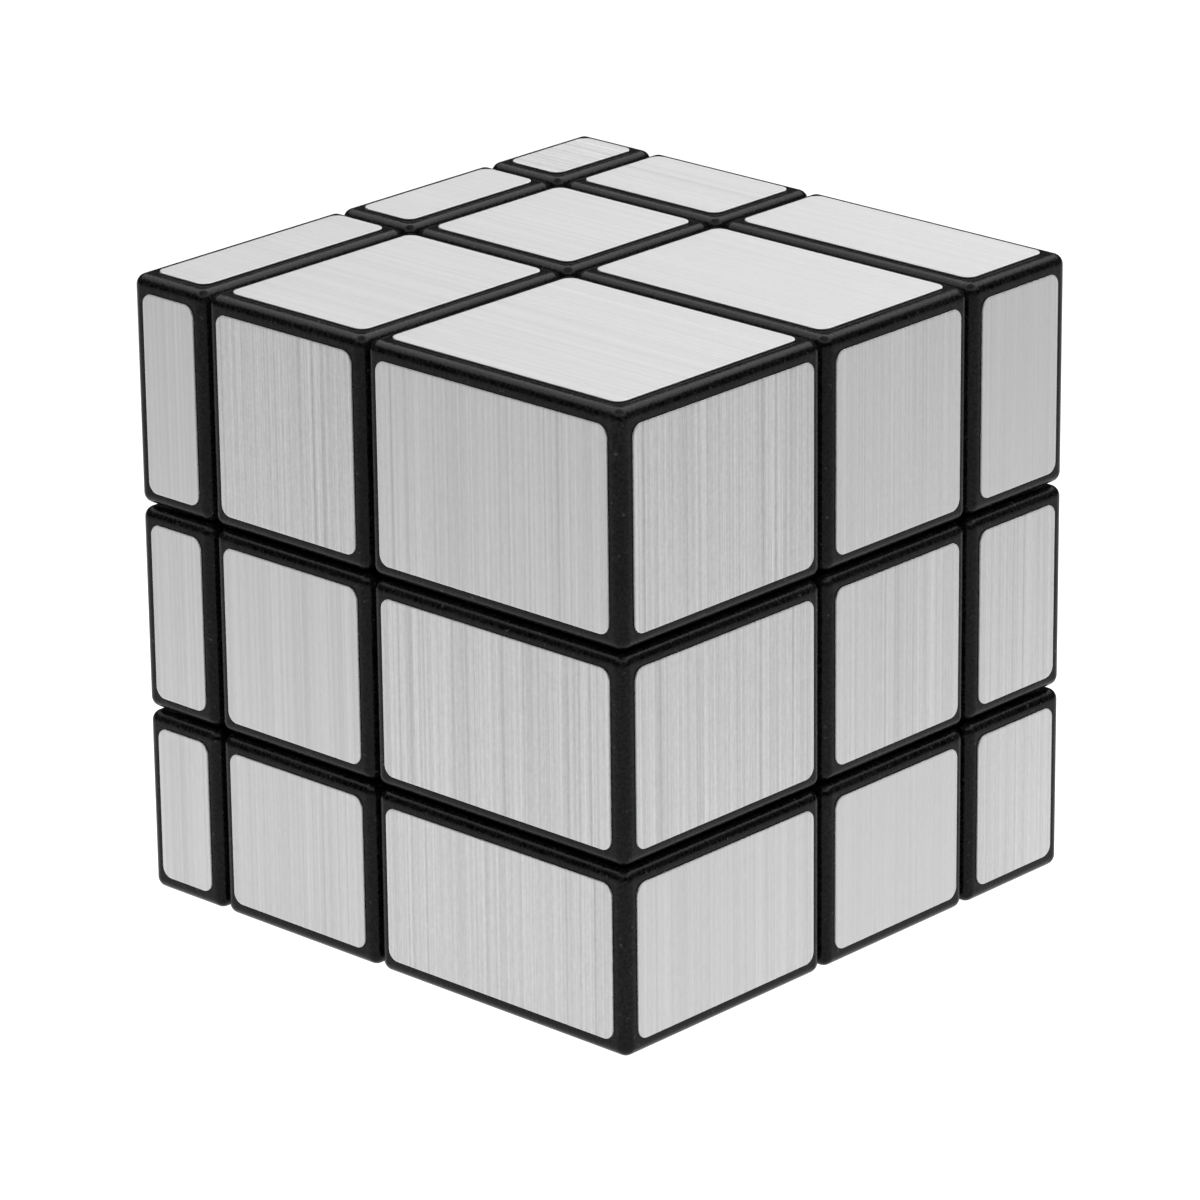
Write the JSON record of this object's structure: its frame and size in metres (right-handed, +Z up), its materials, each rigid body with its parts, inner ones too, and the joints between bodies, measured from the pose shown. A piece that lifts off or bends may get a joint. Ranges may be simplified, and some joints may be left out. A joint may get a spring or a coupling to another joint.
{
  "type": "twisty puzzle cube",
  "caption": "Twisty puzzle cube with brushed silver stickers and outer layers of unequal thickness; each face turns about a spring-loaded core.",
  "frame": {"origin": "bottom centre of the bounding box, on the plane that the cube stands on", "axes": "+X towards the thickest side layer (right), -Y towards the viewer's left-hand face (front), +Z up"},
  "size_m": [0.0574, 0.0574, 0.0573],
  "materials": {
    "black_plastic": "moulded, satin to gloss black",
    "silver_foil": "fine straight brushed foil",
    "core_plastic": "moulded, matte off-white",
    "steel": "zinc plated"
  },
  "bodies": {
    "core": {"core_spider": "core_plastic", "axis_screws_washers_springs": "steel"},
    "centre_left": {"centre_left_base": "black_plastic", "centre_left_cap": "black_plastic", "centre_left_sticker": "silver_foil"},
    "centre_right": {"centre_right_base": "black_plastic", "centre_right_cap": "black_plastic", "centre_right_sticker": "silver_foil"},
    "centre_front": {"centre_front_base": "black_plastic", "centre_front_cap": "black_plastic", "centre_front_sticker": "silver_foil"},
    "centre_back": {"centre_back_base": "black_plastic", "centre_back_cap": "black_plastic", "centre_back_sticker": "silver_foil"},
    "centre_bottom": {"centre_bottom_base": "black_plastic", "centre_bottom_cap": "black_plastic", "centre_bottom_sticker": "silver_foil"},
    "centre_top": {"centre_top_base": "black_plastic", "centre_top_cap": "black_plastic", "centre_top_sticker": "silver_foil"},
    "corner_bottom_back_left": {"corner_bottom_back_left": "black_plastic", "corner_bottom_back_left_stickers": "silver_foil"},
    "corner_bottom_back_right": {"corner_bottom_back_right": "black_plastic", "corner_bottom_back_right_stickers": "silver_foil"},
    "corner_bottom_front_left": {"corner_bottom_front_left": "black_plastic", "corner_bottom_front_left_stickers": "silver_foil"},
    "corner_bottom_front_right": {"corner_bottom_front_right": "black_plastic", "corner_bottom_front_right_stickers": "silver_foil"},
    "corner_top_back_left": {"corner_top_back_left": "black_plastic", "corner_top_back_left_stickers": "silver_foil"},
    "corner_top_back_right": {"corner_top_back_right": "black_plastic", "corner_top_back_right_stickers": "silver_foil"},
    "corner_top_front_left": {"corner_top_front_left": "black_plastic", "corner_top_front_left_stickers": "silver_foil"},
    "corner_top_front_right": {"corner_top_front_right": "black_plastic", "corner_top_front_right_stickers": "silver_foil"},
    "edge_back_left": {"edge_back_left": "black_plastic", "edge_back_left_stickers": "silver_foil"},
    "edge_back_right": {"edge_back_right": "black_plastic", "edge_back_right_stickers": "silver_foil"},
    "edge_bottom_back": {"edge_bottom_back": "black_plastic", "edge_bottom_back_stickers": "silver_foil"},
    "edge_bottom_front": {"edge_bottom_front": "black_plastic", "edge_bottom_front_stickers": "silver_foil"},
    "edge_bottom_left": {"edge_bottom_left": "black_plastic", "edge_bottom_left_stickers": "silver_foil"},
    "edge_bottom_right": {"edge_bottom_right": "black_plastic", "edge_bottom_right_stickers": "silver_foil"},
    "edge_front_left": {"edge_front_left": "black_plastic", "edge_front_left_stickers": "silver_foil"},
    "edge_front_right": {"edge_front_right": "black_plastic", "edge_front_right_stickers": "silver_foil"},
    "edge_top_back": {"edge_top_back": "black_plastic", "edge_top_back_stickers": "silver_foil"},
    "edge_top_front": {"edge_top_front": "black_plastic", "edge_top_front_stickers": "silver_foil"},
    "edge_top_left": {"edge_top_left": "black_plastic", "edge_top_left_stickers": "silver_foil"},
    "edge_top_right": {"edge_top_right": "black_plastic", "edge_top_right_stickers": "silver_foil"}
  },
  "joints": [
    {"name": "turn_left", "type": "hinge", "parent": "core", "child": "centre_left", "pos_m": [-0.01, 0.006, 0.02665], "axis": [-1, 0, 0], "continuous": true},
    {"name": "turn_right", "type": "hinge", "parent": "core", "child": "centre_right", "pos_m": [-0.01, 0.006, 0.02665], "axis": [1, 0, 0], "continuous": true},
    {"name": "turn_front", "type": "hinge", "parent": "core", "child": "centre_front", "pos_m": [-0.01, 0.006, 0.02665], "axis": [0, -1, 0], "continuous": true},
    {"name": "turn_back", "type": "hinge", "parent": "core", "child": "centre_back", "pos_m": [-0.01, 0.006, 0.02665], "axis": [0, 1, 0], "continuous": true},
    {"name": "turn_bottom", "type": "hinge", "parent": "core", "child": "centre_bottom", "pos_m": [-0.01, 0.006, 0.02665], "axis": [0, 0, -1], "continuous": true},
    {"name": "turn_top", "type": "hinge", "parent": "core", "child": "centre_top", "pos_m": [-0.01, 0.006, 0.02665], "axis": [0, 0, 1], "continuous": true},
    {"name": "edge_top_front_about_front", "type": "hinge", "parent": "centre_top", "child": "edge_top_front", "pos_m": [-0.01, 0.006, 0.02665], "axis": [0, -1, 0], "continuous": true},
    {"name": "edge_bottom_front_about_bottom", "type": "hinge", "parent": "centre_front", "child": "edge_bottom_front", "pos_m": [-0.01, 0.006, 0.02665], "axis": [0, 0, -1], "continuous": true},
    {"name": "edge_top_back_about_back", "type": "hinge", "parent": "centre_top", "child": "edge_top_back", "pos_m": [-0.01, 0.006, 0.02665], "axis": [0, 1, 0], "continuous": true},
    {"name": "edge_bottom_back_about_bottom", "type": "hinge", "parent": "centre_back", "child": "edge_bottom_back", "pos_m": [-0.01, 0.006, 0.02665], "axis": [0, 0, -1], "continuous": true},
    {"name": "edge_top_left_about_left", "type": "hinge", "parent": "centre_top", "child": "edge_top_left", "pos_m": [-0.01, 0.006, 0.02665], "axis": [-1, 0, 0], "continuous": true},
    {"name": "edge_bottom_left_about_bottom", "type": "hinge", "parent": "centre_left", "child": "edge_bottom_left", "pos_m": [-0.01, 0.006, 0.02665], "axis": [0, 0, -1], "continuous": true},
    {"name": "edge_top_right_about_right", "type": "hinge", "parent": "centre_top", "child": "edge_top_right", "pos_m": [-0.01, 0.006, 0.02665], "axis": [1, 0, 0], "continuous": true},
    {"name": "edge_bottom_right_about_bottom", "type": "hinge", "parent": "centre_right", "child": "edge_bottom_right", "pos_m": [-0.01, 0.006, 0.02665], "axis": [0, 0, -1], "continuous": true},
    {"name": "edge_front_left_about_front", "type": "hinge", "parent": "centre_left", "child": "edge_front_left", "pos_m": [-0.01, 0.006, 0.02665], "axis": [0, -1, 0], "continuous": true},
    {"name": "edge_front_right_about_right", "type": "hinge", "parent": "centre_front", "child": "edge_front_right", "pos_m": [-0.01, 0.006, 0.02665], "axis": [1, 0, 0], "continuous": true},
    {"name": "edge_back_left_about_left", "type": "hinge", "parent": "centre_back", "child": "edge_back_left", "pos_m": [-0.01, 0.006, 0.02665], "axis": [-1, 0, 0], "continuous": true},
    {"name": "edge_back_right_about_back", "type": "hinge", "parent": "centre_right", "child": "edge_back_right", "pos_m": [-0.01, 0.006, 0.02665], "axis": [0, 1, 0], "continuous": true},
    {"name": "corner_top_front_left_about_top", "type": "hinge", "parent": "edge_front_left", "child": "corner_top_front_left", "pos_m": [-0.01, 0.006, 0.02665], "axis": [0, 0, 1], "continuous": true},
    {"name": "corner_bottom_front_left_about_bottom", "type": "hinge", "parent": "edge_front_left", "child": "corner_bottom_front_left", "pos_m": [-0.01, 0.006, 0.02665], "axis": [0, 0, -1], "continuous": true},
    {"name": "corner_top_front_right_about_top", "type": "hinge", "parent": "edge_front_right", "child": "corner_top_front_right", "pos_m": [-0.01, 0.006, 0.02665], "axis": [0, 0, 1], "continuous": true},
    {"name": "corner_bottom_front_right_about_bottom", "type": "hinge", "parent": "edge_front_right", "child": "corner_bottom_front_right", "pos_m": [-0.01, 0.006, 0.02665], "axis": [0, 0, -1], "continuous": true},
    {"name": "corner_top_back_left_about_top", "type": "hinge", "parent": "edge_back_left", "child": "corner_top_back_left", "pos_m": [-0.01, 0.006, 0.02665], "axis": [0, 0, 1], "continuous": true},
    {"name": "corner_bottom_back_left_about_bottom", "type": "hinge", "parent": "edge_back_left", "child": "corner_bottom_back_left", "pos_m": [-0.01, 0.006, 0.02665], "axis": [0, 0, -1], "continuous": true},
    {"name": "corner_top_back_right_about_top", "type": "hinge", "parent": "edge_back_right", "child": "corner_top_back_right", "pos_m": [-0.01, 0.006, 0.02665], "axis": [0, 0, 1], "continuous": true},
    {"name": "corner_bottom_back_right_about_bottom", "type": "hinge", "parent": "edge_back_right", "child": "corner_bottom_back_right", "pos_m": [-0.01, 0.006, 0.02665], "axis": [0, 0, -1], "continuous": true}
  ],
  "couplings": [
    {"joint": "edge_top_front_about_front", "follows": "turn_front", "ratio": 1},
    {"joint": "edge_bottom_front_about_bottom", "follows": "turn_bottom", "ratio": 1},
    {"joint": "edge_top_back_about_back", "follows": "turn_back", "ratio": 1},
    {"joint": "edge_bottom_back_about_bottom", "follows": "turn_bottom", "ratio": 1},
    {"joint": "edge_top_left_about_left", "follows": "turn_left", "ratio": 1},
    {"joint": "edge_bottom_left_about_bottom", "follows": "turn_bottom", "ratio": 1},
    {"joint": "edge_top_right_about_right", "follows": "turn_right", "ratio": 1},
    {"joint": "edge_bottom_right_about_bottom", "follows": "turn_bottom", "ratio": 1},
    {"joint": "edge_front_left_about_front", "follows": "turn_front", "ratio": 1},
    {"joint": "edge_front_right_about_right", "follows": "turn_right", "ratio": 1},
    {"joint": "edge_back_left_about_left", "follows": "turn_left", "ratio": 1},
    {"joint": "edge_back_right_about_back", "follows": "turn_back", "ratio": 1},
    {"joint": "corner_top_front_left_about_top", "follows": "turn_top", "ratio": 1},
    {"joint": "corner_bottom_front_left_about_bottom", "follows": "turn_bottom", "ratio": 1},
    {"joint": "corner_top_front_right_about_top", "follows": "turn_top", "ratio": 1},
    {"joint": "corner_bottom_front_right_about_bottom", "follows": "turn_bottom", "ratio": 1},
    {"joint": "corner_top_back_left_about_top", "follows": "turn_top", "ratio": 1},
    {"joint": "corner_bottom_back_left_about_bottom", "follows": "turn_bottom", "ratio": 1},
    {"joint": "corner_top_back_right_about_top", "follows": "turn_top", "ratio": 1},
    {"joint": "corner_bottom_back_right_about_bottom", "follows": "turn_bottom", "ratio": 1}
  ]
}
